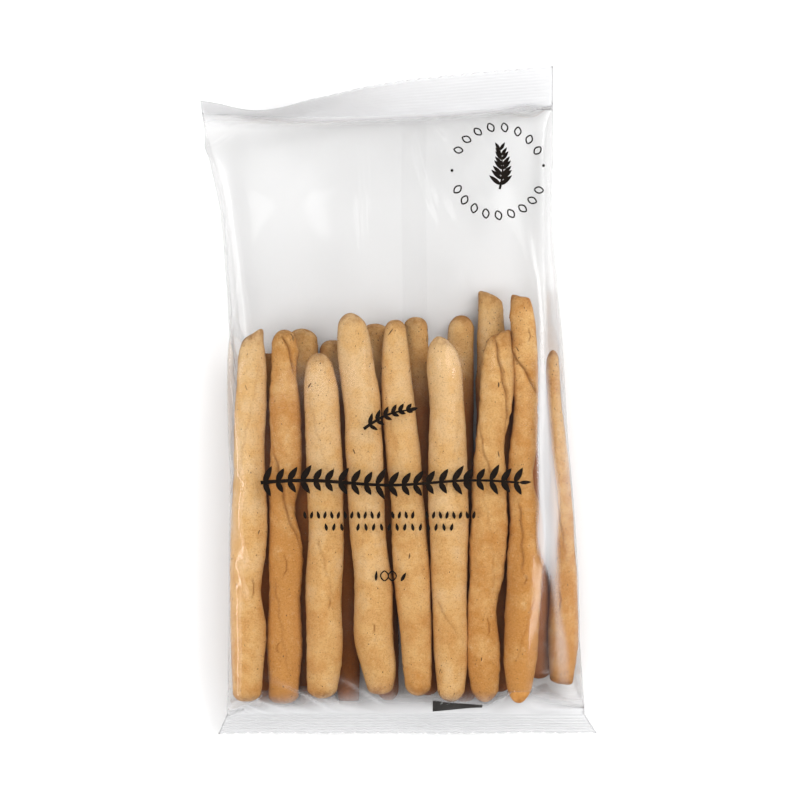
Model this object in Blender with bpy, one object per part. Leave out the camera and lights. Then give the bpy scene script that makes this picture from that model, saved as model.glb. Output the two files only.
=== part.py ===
"""A clear flow-wrap bag of grissini breadsticks, lying on its back, as one closed solid out to the film.

X runs across the bag, Y from the bottom seal to the top seal, and Z up. The origin is the centre of the
bag's footprint, on the surface that it lies on. The sizes below are in millimetres and degrees.
"""

import math

import bmesh
import bpy

MM = 0.001

# The welded film at the two ends of the bag.
SEAL_THICK = 0.8
BOTTOM_SEAL_TALL = 8.6
BOTTOM_SEAL_HALF = 57.0
BOTTOM_SEAL_MIDDLE = 2.3
BOTTOM_SEAL_DROP = 22.0  # how far the bottom seal hangs below level
BOTTOM_HINGE_Y = -92.4
BOTTOM_HINGE_Z = 6.0
TOP_SEAL_TALL = 11.4

# The top seal as stops of (X, value): it stands up at the left end and lies level at the right end.
TOP_HINGE_Y = ((-59.3, 85.8), (-40, 85.2), (10, 86.6), (46.1, 89.0))
TOP_HINGE_Z = ((-59.3, 13.5), (-41, 8.0), (-16, 4.2), (18, 6.0), (46.1, 5.0))
TOP_SEAL_LIFT = ((-59.3, 74.0), (-41, 84.0), (-28, 68.0), (-12, 48.0), (12, 24.0), (46.1, 3.0))

# The sides of the tube as stops of (Y, X), from the bottom seal to the top seal.
LEFT_SIDE = ((-92.4, -52.0), (-60, -51.3), (-15, -50.6), (15, -49.8), (45, -51.9), (60, -53.6), (74, -57.6), (86.4, -59.3))
RIGHT_SIDE = ((-92.4, 55.4), (-60, 53.2), (-15, 50.4), (15, 48.9), (45, 46.4), (60, 45.4), (74, 46.2), (86.4, 46.1))

# The front layer of sticks under the film: X at the foot, X at the tip, and Y of the tip.
FRONT_STICKS = (
    (-45.9, -44.0, 21.0),
    (-34.8, -34.7, 21.6),
    (-23.0, -23.0, 14.4),
    (-7.0, -13.5, 26.7),
    (5.6, -1.5, 24.0),
    (15.2, 13.2, 19.0),
    (25.7, 29.0, 20.0),
    (35.9, 37.0, 31.5),
    (48.2, 45.5, 15.3),
)
STICK_FOOT_Y = -90.0
STICK_THICK = 11.2
STICK_RIDGE = 20.6  # height of the film where it lies on a front stick
GROOVE_DEEP = 1.5  # most that the film sinks between two sticks
TIP_FADE = 14.0  # length over which a stick's ridge dies away past its tip

# The filled tube.
HEADSPACE_RIDGE = 21.2  # height of the film over the air above the sticks
MID_SEAM_Z = 9.5  # height of the side folds where the tube is full
BOTTOM_OPENS_IN = 11.0
TOP_OPENS_IN = 50.0
BOXINESS = 3.4  # exponent of the section, from 2, an ellipse, towards a box
FLAT_SHARE = 1.12  # above 1, so that the middle of the back is truly flat

FRONT_STEPS = 64
BACK_STEPS = 22
TUBE_STATIONS = 44
SEAL_STATIONS = 3
CROWDING = 0.55  # how much closer the loops stand towards the seals

FILM_COLOUR = (0.90, 0.91, 0.92, 1.0)
FILM_ROUGHNESS = 0.12


def clamp(value):
    """The value kept from 0 to 1."""
    return min(1.0, max(0.0, value))


def ease(t):
    """Smooth step from 0 to 1."""
    t = clamp(t)
    return t * t * (3 - 2 * t)


def mix(a, b, share):
    """The value a share of the way from a to b."""
    return a + (b - a) * share


def through(stops, at):
    """The value at a place along a smooth curve through (place, value) stops, level past both ends."""
    if at <= stops[0][0]:
        return stops[0][1]
    for k in range(len(stops) - 1):
        (x0, y0), (x1, y1) = stops[k], stops[k + 1]
        if at <= x1:
            before = stops[max(k - 1, 0)]
            after = stops[min(k + 2, len(stops) - 1)]
            wide = x1 - x0
            slope0 = (y1 - before[1]) / (x1 - before[0]) * wide
            slope1 = (after[1] - y0) / (after[0] - x0) * wide
            t = (at - x0) / wide
            start = y0 * (1 + 2 * t) * (1 - t) ** 2 + slope0 * t * (1 - t) ** 2
            return start + y1 * t * t * (3 - 2 * t) - slope1 * t * t * (1 - t)
    return stops[-1][1]


def groove_depth(x, y):
    """How far the film sinks at (x, y) between the front sticks, and how much of it they still carry."""
    depth = 1.0
    carried = 0.0
    for foot_x, tip_x, tip_y in FRONT_STICKS:
        along = (y - STICK_FOOT_Y) / (tip_y - STICK_FOOT_Y)
        here = ease((tip_y + TIP_FADE - y) / TIP_FADE)
        aside = (x - mix(foot_x, tip_x, clamp(along))) / (STICK_THICK / 2)
        depth = min(depth, mix(1.0, clamp(aside * aside), here))
        carried = max(carried, here)
    return GROOVE_DEEP * depth * carried, carried


def ridge_height(x, y):
    """Height of the film's front over the contents: a ridge on each stick, and a plain crown on the air."""
    groove, carried = groove_depth(x, y)
    return mix(HEADSPACE_RIDGE, STICK_RIDGE, carried) - groove


def openness(y, top_y):
    """How far the tube has opened at Y, from 0 at a seal to 1 where it is full."""
    from_bottom = clamp((y - BOTTOM_HINGE_Y) / BOTTOM_OPENS_IN)
    from_top = clamp((top_y - y) / TOP_OPENS_IN)
    return math.sin(math.pi / 2 * from_bottom) ** 0.7 * math.sin(math.pi / 2 * from_top) ** 0.75


def loop_places():
    """(share across from -1 to 1, side) round one loop: left fold, front, right fold and back."""
    places = [(-1.0, 0)]
    places += [(math.sin(math.pi / 2 * (2 * k / FRONT_STEPS - 1)), 1) for k in range(1, FRONT_STEPS)]
    places.append((1.0, 0))
    places += [(math.sin(math.pi / 2 * (1 - 2 * k / BACK_STEPS)), -1) for k in range(1, BACK_STEPS)]
    return places


def side_height(across):
    """Share of the section's height at a share across it, on a rounded box."""
    return min(1.0, FLAT_SHARE * (1 - abs(across) ** BOXINESS) ** (1 / BOXINESS))


def tube_point(across, side, along):
    """A point of the filled tube, at a share across it and a share along from seal to seal."""
    nominal = mix(LEFT_SIDE[0][0], LEFT_SIDE[-1][0], along)
    x = mix(through(LEFT_SIDE, nominal), through(RIGHT_SIDE, nominal), (across + 1) / 2)
    top_y = through(TOP_HINGE_Y, x)
    y = mix(BOTTOM_HINGE_Y, top_y, along)
    opened = openness(y, top_y)
    lower_seam = mix(BOTTOM_HINGE_Z, MID_SEAM_Z, ease(along * 6))
    seam = mix(lower_seam, through(TOP_HINGE_Z, x), ease(along * 3 - 2))
    wall = SEAL_THICK / 2
    reach = (ridge_height(x, y) - seam if side > 0 else seam) - wall
    return x, y, seam + side * side_height(across) * (wall + opened * reach)


def bottom_seal_point(across, side, reach):
    """A point of the bottom seal, reach below its hinge, where it spreads to the film's flat width."""
    flare = ease(reach / BOTTOM_SEAL_TALL)
    left, right = LEFT_SIDE[0][1], RIGHT_SIDE[0][1]
    middle = mix((left + right) / 2, BOTTOM_SEAL_MIDDLE, flare)
    half = mix((right - left) / 2, BOTTOM_SEAL_HALF, flare)
    drop = math.radians(BOTTOM_SEAL_DROP)
    z = BOTTOM_HINGE_Z - reach * math.sin(drop) + side * SEAL_THICK / 2
    return middle + half * across, BOTTOM_HINGE_Y - reach * math.cos(drop), z


def top_seal_point(across, side, reach):
    """A point of the top seal, reach above its hinge, leaning up by its own angle at each X."""
    x = mix(LEFT_SIDE[-1][1], RIGHT_SIDE[-1][1], (across + 1) / 2)
    lift = math.radians(through(TOP_SEAL_LIFT, x))
    half = side * SEAL_THICK / 2
    y = through(TOP_HINGE_Y, x) + reach * math.cos(lift) - half * math.sin(lift)
    return x, y, through(TOP_HINGE_Z, x) + reach * math.sin(lift) + half * math.cos(lift)


def all_loops():
    """Every loop of points, from the cut edge of the bottom seal to the cut edge of the top seal."""
    places = loop_places()
    loops = []
    for k in range(SEAL_STATIONS, -1, -1):
        reach = BOTTOM_SEAL_TALL * k / SEAL_STATIONS
        loops.append([bottom_seal_point(across, side, reach) for across, side in places])
    for k in range(1, TUBE_STATIONS):
        share = k / TUBE_STATIONS
        along = share - CROWDING * math.sin(2 * math.pi * share) / (2 * math.pi)
        loops.append([tube_point(across, side, along) for across, side in places])
    for k in range(SEAL_STATIONS + 1):
        reach = TOP_SEAL_TALL * k / SEAL_STATIONS
        loops.append([top_seal_point(across, side, reach) for across, side in places])
    return loops


def skin(bm, loops):
    """Joins each loop to the next with quads, and closes the first and the last loop."""
    verts = [[bm.verts.new([c * MM for c in point]) for point in loop] for loop in loops]
    count = len(verts[0])
    for low, high in zip(verts, verts[1:]):
        for k in range(count):
            n = (k + 1) % count
            bm.faces.new((low[k], high[k], high[n], low[n]))
    ends = [bm.faces.new(verts[0]), bm.faces.new(reversed(verts[-1]))]
    bmesh.ops.triangulate(bm, faces=ends)


def film_material():
    """Clear film, drawn pale because the solid stands for the film and all that it holds."""
    mat = bpy.data.materials.new("film")
    mat.use_nodes = True
    shader = mat.node_tree.nodes["Principled BSDF"]
    shader.inputs["Base Color"].default_value = FILM_COLOUR
    shader.inputs["Roughness"].default_value = FILM_ROUGHNESS
    shader.inputs["Metallic"].default_value = 0.0
    return mat


def build_bag():
    """The sealed bag, filled out by its sticks and its air."""
    bm = bmesh.new()
    skin(bm, all_loops())
    bmesh.ops.recalc_face_normals(bm, faces=bm.faces)
    mesh = bpy.data.meshes.new("grissini_bag")
    bm.to_mesh(mesh)
    bm.free()
    mesh.shade_smooth()
    mesh.materials.append(film_material())
    bag = bpy.data.objects.new("grissini_bag", mesh)
    bpy.context.collection.objects.link(bag)


def main():
    for obj in list(bpy.data.objects):
        bpy.data.objects.remove(obj)
    build_bag()


main()
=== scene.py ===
# %% [markdown]
# # A clear bag of rosemary grissini
# Grissini are thin breadsticks rolled by hand, so no two are alike: they taper, lean and carry the spiral
# seam of the rolling. This bag holds them in two layers, in one tube of clear film that is welded flat at
# both ends and printed on its front. The lesson goes from the sticks outwards: bread, herbs, film, print.
# Lengths are in millimetres until a mesh is made. X runs across the bag, Y from the bottom seal to the top
# seal, and Z up from the table that the bag lies on.

import bpy
import numpy as np
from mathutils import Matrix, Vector


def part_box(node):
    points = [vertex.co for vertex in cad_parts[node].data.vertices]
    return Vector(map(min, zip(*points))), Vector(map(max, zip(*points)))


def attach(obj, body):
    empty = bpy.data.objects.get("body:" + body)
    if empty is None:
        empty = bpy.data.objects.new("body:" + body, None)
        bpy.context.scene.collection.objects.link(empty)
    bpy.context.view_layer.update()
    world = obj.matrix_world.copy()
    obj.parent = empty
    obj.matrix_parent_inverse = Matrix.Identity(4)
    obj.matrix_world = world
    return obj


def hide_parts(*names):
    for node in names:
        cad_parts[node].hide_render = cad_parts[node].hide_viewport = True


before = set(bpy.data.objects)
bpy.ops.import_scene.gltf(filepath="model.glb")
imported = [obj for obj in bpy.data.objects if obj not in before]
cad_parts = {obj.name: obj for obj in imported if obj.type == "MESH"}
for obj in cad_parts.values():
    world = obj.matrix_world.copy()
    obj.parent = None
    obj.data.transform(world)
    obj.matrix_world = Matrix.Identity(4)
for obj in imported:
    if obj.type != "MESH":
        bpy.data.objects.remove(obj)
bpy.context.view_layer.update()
MM = 0.001
bag_low, bag_high = (np.array(corner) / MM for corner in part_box("grissini_bag"))
print("the bag's box in mm:", bag_low.round(1), bag_high.round(1))

# %% [markdown]
# ## Camera and light
# The bag is shown flat on, so the camera hangs above it and looks straight down through a long lens, which
# keeps the sides of a bag only two centimetres thick from spreading. Clear film shows itself only by what it
# mirrors, so five soft boxes are there for the film alone. One on the right helps to draw the pale band down
# the right-hand shoulder of the bag, two on the left draw the thin line there and its glow, and two large
# ones high up leave soft patches on the head. The key lamp, which lights the bread from the upper right, and
# the fills are kept out of the mirrored view, as flags would do. The sky is dim overhead, where flat film
# mirrors it, and brighter low down, which keeps the steep sides of the bag pale.

# %% Camera
CAMERA_HIGH = 1400.0
FRAMED_WIDTH = 240.0  # what the camera takes in at MIDDLE_HIGH
MIDDLE_HIGH = 10.0  # about half way up the bag
SENSOR = 36.0

camera_data = bpy.data.cameras.new("camera")
camera_data.sensor_width = SENSOR
camera_data.lens = SENSOR * (CAMERA_HIGH - MIDDLE_HIGH) / FRAMED_WIDTH
camera_data.clip_end = 100.0
camera = bpy.data.objects.new("camera", camera_data)
camera.location = (0, 0, CAMERA_HIGH * MM)
bpy.context.scene.collection.objects.link(camera)
bpy.context.scene.camera = camera
print("lens", round(camera_data.lens, 1), "mm")


# %% Soft boxes
def soft_box(name, place, size, watts, mirrored):
    """A rectangular lamp at a place in mm that faces the middle of the bag; its size is (level, slanting) mm.

    A mirrored one shows only where something mirrors it, and any other one lights only what is matt.
    """
    data = bpy.data.lights.new(name, "AREA")
    data.shape = "RECTANGLE"
    data.size, data.size_y = size[0] * MM, size[1] * MM
    data.energy = watts
    lamp = bpy.data.objects.new(name, data)
    lamp.location = [c * MM for c in place]
    way = Vector((0, 0, MIDDLE_HIGH)) - Vector(place)
    lamp.rotation_euler = way.to_track_quat("-Z", "Y").to_euler()
    lamp.visible_glossy = mirrored
    lamp.visible_diffuse = not mirrored
    bpy.context.scene.collection.objects.link(lamp)


soft_box("right_box", (585, 15, 491), (340, 160), 1.3, mirrored=True)
soft_box("left_box", (-650, -130, 270), (420, 70), 0.7, mirrored=True)
soft_box("left_glow", (-560, -130, 480), (420, 180), 0.36, mirrored=True)
soft_box("head_left", (-430, 360, 1000), (460, 380), 1.1, mirrored=True)
soft_box("head_right", (430, 360, 1000), (460, 380), 0.9, mirrored=True)
soft_box("foot_fill", (0, -800, 330), (900, 300), 0.9, mirrored=False)
soft_box("key_box", (420, 470, 640), (600, 420), 5.7, mirrored=False)
soft_box("right_fill", (900, -250, 850), (800, 800), 6.0, mirrored=False)
soft_box("left_fill", (-800, -300, 850), (800, 800), 10.0, mirrored=False)
soft_box("top_fill", (0, 0, 1700), (1200, 1200), 8.5, mirrored=False)


# %% Sky
def remap(tree, value, low, high, to_low=0.0, to_high=1.0):
    """A value's range low to high turned smoothly into another range."""
    node = tree.nodes.new("ShaderNodeMapRange")
    node.interpolation_type = "SMOOTHSTEP"
    tree.links.new(value, node.inputs["Value"])
    for title, number in (("From Min", low), ("From Max", high), ("To Min", to_low), ("To Max", to_high)):
        node.inputs[title].default_value = number
    return node.outputs[0]


SKY_OVERHEAD, SKY_LOW = 0.06, 0.6
LOW_RISE, HIGH_RISE = 0.2, 0.95  # Z of a unit direction: low sky below the first, overhead above the second
world = bpy.data.worlds.new("sky")
world.use_nodes = True
sky_tree = world.node_tree
sky_axes = sky_tree.nodes.new("ShaderNodeSeparateXYZ")
sky_tree.links.new(sky_tree.nodes.new("ShaderNodeTexCoord").outputs["Generated"], sky_axes.inputs[0])
sky_strength = remap(sky_tree, sky_axes.outputs["Z"], LOW_RISE, HIGH_RISE, SKY_LOW, SKY_OVERHEAD)
sky_tree.nodes["Background"].inputs["Color"].default_value = (1.0, 1.0, 1.0, 1.0)
sky_tree.links.new(sky_strength, sky_tree.nodes["Background"].inputs["Strength"])
bpy.context.scene.world = world
bpy.context.scene.view_settings.view_transform = "Standard"
print("sky from", SKY_LOW, "low down to", SKY_OVERHEAD, "overhead")

# %% [markdown]
# ## Shared tools
# Every shape here is a grid of points worked out with numpy, so three tools do most of the work: a smooth
# curve through a few stops, a mean of waves that stands in for the unevenness of hand work, and a function
# that makes a grid of points into a mesh.


# %% Curves, waves and grids
def through(stops, at):
    """Smooth values along (place, value, ...) stops: a cubic on each stretch, sloped by its neighbours."""
    table = np.array(sorted(stops), float)
    place, value = table[:, 0], table[:, 1:]
    slope = np.gradient(value, place, axis=0)
    at = np.clip(np.asarray(at, float), place[0], place[-1])
    k = np.clip(np.searchsorted(place, at, side="right") - 1, 0, len(place) - 2)
    wide = (place[k + 1] - place[k])[..., None]
    t = (at - place[k])[..., None] / wide
    rise = value[k] * (1 + 2 * t) * (1 - t) ** 2 + slope[k] * wide * t * (1 - t) ** 2
    return rise + value[k + 1] * t * t * (3 - 2 * t) - slope[k + 1] * wide * t * t * (1 - t)


def line_through(stops, at):
    """The same as through for stops with one value, as a plain array."""
    return through(stops, at)[..., 0]


def ease(t):
    """Smooth step: 0 below 0, 1 above 1, and level at both."""
    t = np.clip(t, 0.0, 1.0)
    return t * t * (3 - 2 * t)


def waves(points, length, seed, count=14, creased=False):
    """Unevenness from -1 to 1: the mean of sine waves of about one length in random directions.

    Creased ones are zigzags of the same length, whose straight flanks meet in sharp folds.
    """
    rng = np.random.default_rng(seed)
    way = rng.normal(size=(count, 3))
    way /= np.linalg.norm(way, axis=1, keepdims=True)
    pace = 2 * np.pi / (length * rng.uniform(0.7, 1.5, count))
    phase = rng.uniform(0, 2 * np.pi, count)
    swing = np.sin(points @ (way * pace[:, None]).T + phase)
    if creased:
        swing = np.arcsin(swing) * 2 / np.pi
    return swing.mean(axis=-1) * 2.2


def grid_faces(rows, columns, closed):
    """Corner numbers of the quads of a grid, whose columns may close into a ring."""
    r, c = np.meshgrid(np.arange(rows - 1), np.arange(columns if closed else columns - 1), indexing="ij")
    right = (c + 1) % columns
    quads = np.stack([r * columns + c, r * columns + right, (r + 1) * columns + right, (r + 1) * columns + c])
    return quads.reshape(4, -1).T


def mesh_object(name, points, faces, attributes=None):
    """A smooth mesh object from points in mm and quads or triangles, with point attributes."""
    mesh = bpy.data.meshes.new(name)
    points = np.asarray(points, float).reshape(-1, 3)
    corners = faces.shape[1]
    mesh.vertices.add(len(points))
    mesh.vertices.foreach_set("co", (points * MM).ravel())
    mesh.loops.add(faces.size)
    mesh.loops.foreach_set("vertex_index", faces.ravel().astype(np.int32))
    mesh.polygons.add(len(faces))
    mesh.polygons.foreach_set("loop_start", np.arange(0, faces.size, corners, dtype=np.int32))
    mesh.update(calc_edges=True)
    mesh.validate()
    for title, values in (attributes or {}).items():
        layer = mesh.attributes.new(title, "FLOAT", "POINT")
        layer.data.foreach_set("value", np.asarray(values, np.float32).ravel())
    mesh.shade_smooth()
    thing = bpy.data.objects.new(name, mesh)
    bpy.context.scene.collection.objects.link(thing)
    return thing


print("tools ready")

# %% [markdown]
# ## The shapes of the sticks
# Each stick is a few stops along its length: Y, X of its middle and half its width. The nine in front were
# rolled shorter or longer and lean a little, and those behind fill the gaps. Both layers are drawn this way
# and not as straight rods, because a hand rolls a stick thick in one place and thin in the next.

# %% Stops of the front and back sticks
FRONT_STICKS = {
    "front_1": [(20, -44, 3.1), (10, -44.2, 4.2), (0, -44.5, 4.8), (-15, -45.2, 4.6), (-30, -45.2, 5.1),
                (-42, -45.2, 5.5), (-55, -46.2, 4.6), (-70, -45.3, 5.3), (-90.2, -46, 4.2)],
    "front_2": [(21, -35, 3), (15, -34.4, 4.3), (9, -34.7, 3.9), (0, -34.4, 4.5), (-24, -34.4, 4.6),
                (-32, -35.2, 3.9), (-42, -34.3, 4.7), (-60, -34.6, 5), (-75, -34.8, 5.2), (-91, -34.9, 4.6)],
    "front_3": [(14, -24.2, 3.0), (6, -23.8, 4.9), (-6, -23.2, 5.3), (-20, -22.5, 5.5), (-36, -22.1, 5.3),
                (-60, -22.8, 5.5), (-74, -22.6, 5.4), (-89.3, -23.4, 4.3)],
    "front_4": [(26, -14.7, 3.7), (15, -13.5, 5.1), (0, -11.5, 5.4), (-20, -10.5, 5.5), (-42, -9.4, 5.4),
                (-56, -7.9, 5.7), (-72, -7.8, 5.8), (-80, -6.4, 5.2), (-88, -5.8, 3.4)],
    "front_5": [(24, -1.4, 2.8), (16, -1.4, 4.0), (0, -0.6, 4.9), (-15, 0.9, 5.2), (-30, 2.2, 4.9),
                (-48, 3.3, 5.5), (-62, 4.2, 5.1), (-76, 5.1, 4.5), (-88.4, 5.6, 3.6)],
    "front_6": [(19, 11.8, 2.8), (12, 13, 4.8), (0, 13.9, 5.2), (-20, 14.3, 5.8), (-32, 14.4, 6.1),
                (-46, 14.7, 5.6), (-60, 14.8, 5.2), (-76, 15.3, 5.1), (-90.4, 15.3, 3.7)],
    "front_7": [(20, 29.6, 3.4), (10, 29.2, 4.7), (0, 28.8, 4.9), (-10, 27.2, 4.2), (-24, 26.7, 5.0),
                (-38, 26.9, 5.7), (-52, 25.6, 5.2), (-63, 24.5, 4.6), (-78, 25.1, 5.1), (-90.4, 25.4, 3.4)],
    "front_8": [(31, 36, 2.5), (26, 36.6, 3.4), (15, 37, 4.0), (-4, 37.4, 3.6), (-15, 36.7, 4),
                (-24, 36.1, 3.9), (-36, 37.7, 5.1), (-46, 37.6, 5.4), (-60, 36.9, 5.2), (-78, 36, 4.9),
                (-90.6, 35.6, 2.9)],
    "front_9": [(15, 46, 1.6), (10, 45.9, 1.9), (0, 46.2, 2.2), (-12, 47.3, 2.7), (-30, 48.3, 3.4),
                (-46, 48.9, 3.9), (-60, 49.1, 4.3), (-74, 48.9, 4.5), (-85.3, 48.4, 3.3)],
}
BACK_STICKS = {
    "back_1": [(14, -39.4, 4.4), (-30, -39.8, 5.1), (-92.6, -39.0, 3.6)],
    "back_2": [(21.5, -29.4, 4.4), (-30, -28.4, 5.2), (-92.6, -26.6, 3.8)],
    "back_3": [(18, -20.2, 4.0), (-30, -17.8, 5.2), (-92.2, -15.4, 3.2)],
    "back_4": [(23, -7.6, 4.0), (-30, -6.2, 5.2), (-90.5, -3.5, 3.2)],
    "back_5": [(25, 4.8, 3.4), (-30, 5.8, 5.2), (-89, 8.4, 3.5)],
    "back_6": [(25.5, 18.4, 3.8), (-30, 17.0, 5.2), (-91, 19.6, 3.6)],
    "back_7": [(32, 27.2, 3.6), (0, 28.0, 5.0), (-88, 30.0, 3.5)],
    "back_8": [(22, 36.0, 3.0), (4, 36.8, 3.8), (-30, 37.6, 4.8), (-60, 40.6, 4.8), (-84, 42.0, 3.6)],
}

# %% [markdown]
# The back layer lies on the film, and the front layer rests on the back one. Two round sticks touch when
# their middles are as far apart as their two half widths together, so the height that a front stick needs
# follows from Pythagoras at every place along it. A stiff stick touches only at two of those places: among
# all the straight lines that pass over every one, it takes the one that is lowest at the stick's middle.

# %% Where each stick lies
FILM_CLEAR = 0.35  # room for the film under the back layer
FLATNESS = 0.94  # a stick is a little flatter than it is wide, from lying on its tray
MOST_TILT = 0.015  # of a front stick, as a slope along its length
SETTLED = 0.5  # by which a stick lies lower than two quite stiff ones would, since both give a little
END_ROOM = 1.2  # past each end of a stick, for its ragged crust
END_ROUND = 3.0  # how far from its end a stick starts to close
table_y = np.linspace(-100, 100, 401)  # the Y of each row in the tables of where the sticks lie


def end_round(y, low, high, cap):
    """Share of the full width near a stick's ends: a quarter circle over the length of its cap."""
    inset = np.clip(np.minimum(y - low, high - y) / cap, 0.0, 1.0)
    return np.sqrt(1 - (1 - inset) ** 2)


def lie(stops, over):
    """X, Z and half width at each table_y of a stick that rests on those in over, and no width past its ends.

    Where two sticks touch, Pythagoras gives the height between them from their reach and how far apart they
    are in X.
    """
    middle, half = through(stops, table_y).T
    half = half * end_round(table_y, stops[-1][0] - END_ROOM, stops[0][0] + END_ROOM, END_ROUND)
    need = np.full(len(table_y), FILM_CLEAR) + half * FLATNESS
    for other_x, other_z, other_half in over:
        reach = (half + other_half) * FLATNESS
        apart = middle - other_x
        on_top = other_z + np.sqrt(np.clip(reach**2 - (apart * FLATNESS) ** 2, 0, None))
        touching = (other_half > 0) & (half > 0) & (reach > abs(apart) * FLATNESS)
        need = np.where(touching, np.maximum(need, on_top), need)
    if over:
        held = half > half.max() / 2
        from_centre = table_y - table_y[held].mean()
        tilts = np.linspace(-MOST_TILT, MOST_TILT, 121)[:, None]
        lifts = (need[held] - tilts * from_centre[held]).max(axis=1)
        need = lifts.min() - SETTLED + tilts[lifts.argmin()] * from_centre
    return middle, need, half


back_lies = [lie(stops, []) for stops in BACK_STICKS.values()]
front_lies = [lie(stops, back_lies) for stops in FRONT_STICKS.values()]
lies = dict(zip([*BACK_STICKS, *FRONT_STICKS], back_lies + front_lies))
for name, (_, height, half) in lies.items():
    held = half > 0
    top = (height + half * FLATNESS)[held].max()
    print(name, "middle", height[held].mean().round(1), "top", top.round(1))

# %% [markdown]
# ## Rolling the dough
# A stick is a ring of points carried along its middle line. The ring is not a circle: waves make it lumpy,
# and a spiral seam, where the dough folded over itself in the rolling, leaves a groove with a raised lip.
# A crack is a short narrow groove. Both are written as distances from a line that winds round the stick, so
# the same formula gives the shape and the mask that later darkens the groove, as painted shade.

# %% Ends, seams and cracks
SHORT_CAP = 2.5  # an end that closes over less than this is torn or cut, and squarer than a round one


def end_cap(from_end, cap):
    """Share of the full width at a distance from an end: a quarter circle over the cap, squarer if short."""
    inset = np.clip(from_end / cap, 0, 1)
    power = 3.2 if cap < SHORT_CAP else 2.0
    return (1 - (1 - inset) ** power) ** (1 / power)


def off_line(angle, line, half):
    """Distance in mm round the stick from a line that winds along it to each point, positive towards +X."""
    return ((angle[None] - line[:, None] + np.pi) % (2 * np.pi) - np.pi) * half[:, None]


def seam_line(y, angle, half, from_y, to_y, from_angle, to_angle, depth):
    """How far a seam swells the stick, and its mask: a cut, a lip on one side and a valley on the other.

    The line runs straight from one angle to the other and wavers a little. It fades in and out at its ends.
    """
    share = (y - from_y) / (to_y - from_y)
    live = (ease(share / 0.18) * ease((1 - share) / 0.18))[:, None]
    line = np.radians(from_angle + (to_angle - from_angle) * np.clip(share, 0, 1))
    off = off_line(angle, line + 0.05 * np.sin(y * 0.9), half)
    lip = np.where(off > 0, np.exp(-off / 2.2), np.exp(off / 0.35) * 0.4)
    cut = np.exp(-((off + 0.25) / (0.24 + 0.3 * depth)) ** 2)
    valley = np.where(off < 0, np.exp(off / 1.6), 0.0) * max(depth - 0.4, 0.0)
    swell = live * (0.5 * min(depth, 0.5) * lip - 0.9 * depth * cut - 0.8 * valley)
    return swell, live * cut * np.clip(depth - 0.1, 0, 0.55)


def crack_line(y, angle, half, from_y, to_y, at_angle, sway, depth):
    """How far a crack swells the stick, and its mask: a thin cut between edges that stand up a little."""
    share = (y - from_y) / (to_y - from_y)
    live = (ease(share / 0.3) * ease((1 - share) / 0.3))[:, None]
    line = np.radians(at_angle) + np.radians(sway) * np.sin(np.pi * share) + 0.02 * np.sin(y * 2.7)
    off = off_line(angle, line, half)
    cut = np.exp(-((off / 0.22) ** 2))
    return live * depth * (0.35 * np.exp(-abs(off) / 0.8) - cut), live * cut


# %% One stick
AROUND, ALONG = 84, 300  # points round a front stick and along it
LUMPS, RIPPLES, RAGS = 9.0, 3.2, 3.5  # lengths of the waves in the crust, and of those in a torn end
FLANK_SHADE = 0.75  # painted shade: how dark the flanks are painted, where neighbouring sticks shade them, next to 1 in a groove
FLANK_FROM, FLANK_OVER = 50, 55  # degrees from the top to a flank, and over how many its painted shade comes in
END_LONG = 5.0  # how far an end is browner and ragged
HEAD_Y = 10.0
LOWER_SHADE = 0.4  # painted shade: how much darker the tone is made 100 mm below the head of the sticks


def stick_surface(name, stops, cap_low, cap_high, seams=(), cracks=(), slant=(0.0, 0.0), lumpy=0.22, seed=0,
                  around=AROUND, along=ALONG):
    """Points, mask of painted shade in grooves and on flanks, and mask of the ends of one stick.

    The station along it is a sine of the row, so that rows crowd at the ends, where the width closes as a
    cap. Seams are (y from, y to, angle from, angle to, depth) with angles in degrees from the top, and cracks
    are (y from, y to, angle, sway to the side in degrees, depth).
    """
    middle, height, _ = lies[name]
    low, high = stops[-1][0], stops[0][0]
    row = np.linspace(-1, 1, along)
    y = (low + high) / 2 + (high - low) / 2 * np.sin(np.pi / 2 * row)
    half = through(stops, y)[:, 1]
    close = end_cap(y - low, cap_low) * end_cap(high - y, cap_high)
    angle = np.linspace(-np.pi, np.pi, around, endpoint=False)
    ring_x, ring_z = np.sin(angle), np.cos(angle)
    x0 = np.interp(y, table_y, middle)
    z0 = np.interp(y, table_y, height)
    radius = np.broadcast_to(half[:, None], (along, around)).copy()
    spot = np.stack([x0[:, None] + radius * ring_x, np.broadcast_to(y[:, None], radius.shape),
                     z0[:, None] + radius * ring_z], axis=-1)
    radius += lumpy * waves(spot * (1, 0.55, 1), LUMPS, seed) + 0.4 * lumpy * waves(spot, RIPPLES, seed + 1)
    # painted shade: the flanks, where neighbouring sticks shade the crust, are darkened like the grooves
    flank_shade = ease((abs(angle) - np.radians(FLANK_FROM)) / np.radians(FLANK_OVER))
    groove_and_flank_shade = np.broadcast_to(FLANK_SHADE * flank_shade, radius.shape)
    for line, values in [(seam_line, seam) for seam in seams] + [(crack_line, crack) for crack in cracks]:
        swell, mask = line(y, angle, half, *values)
        radius += swell
        groove_and_flank_shade = np.maximum(groove_and_flank_shade, mask)
    radius = np.clip(radius, 0.2, None) * close[:, None]
    near_low = 1 - ease((y - low) / END_LONG)
    near_high = 1 - ease((high - y) / END_LONG)
    ragged = 0.5 * waves(spot * (1, 0.0, 1), RAGS, seed + 2)
    shift = near_low[:, None] * (slant[0] * ring_x + ragged) * close[:, None]
    shift = shift + near_high[:, None] * (slant[1] * ring_x + ragged) * close[:, None]
    points = np.stack([x0[:, None] + radius * ring_x, y[:, None] + shift,
                       z0[:, None] + FLATNESS * radius * ring_z], axis=-1)
    ends = np.maximum(near_low, near_high)[:, None] * np.ones((1, around))
    return points, groove_and_flank_shade, ends


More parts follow.
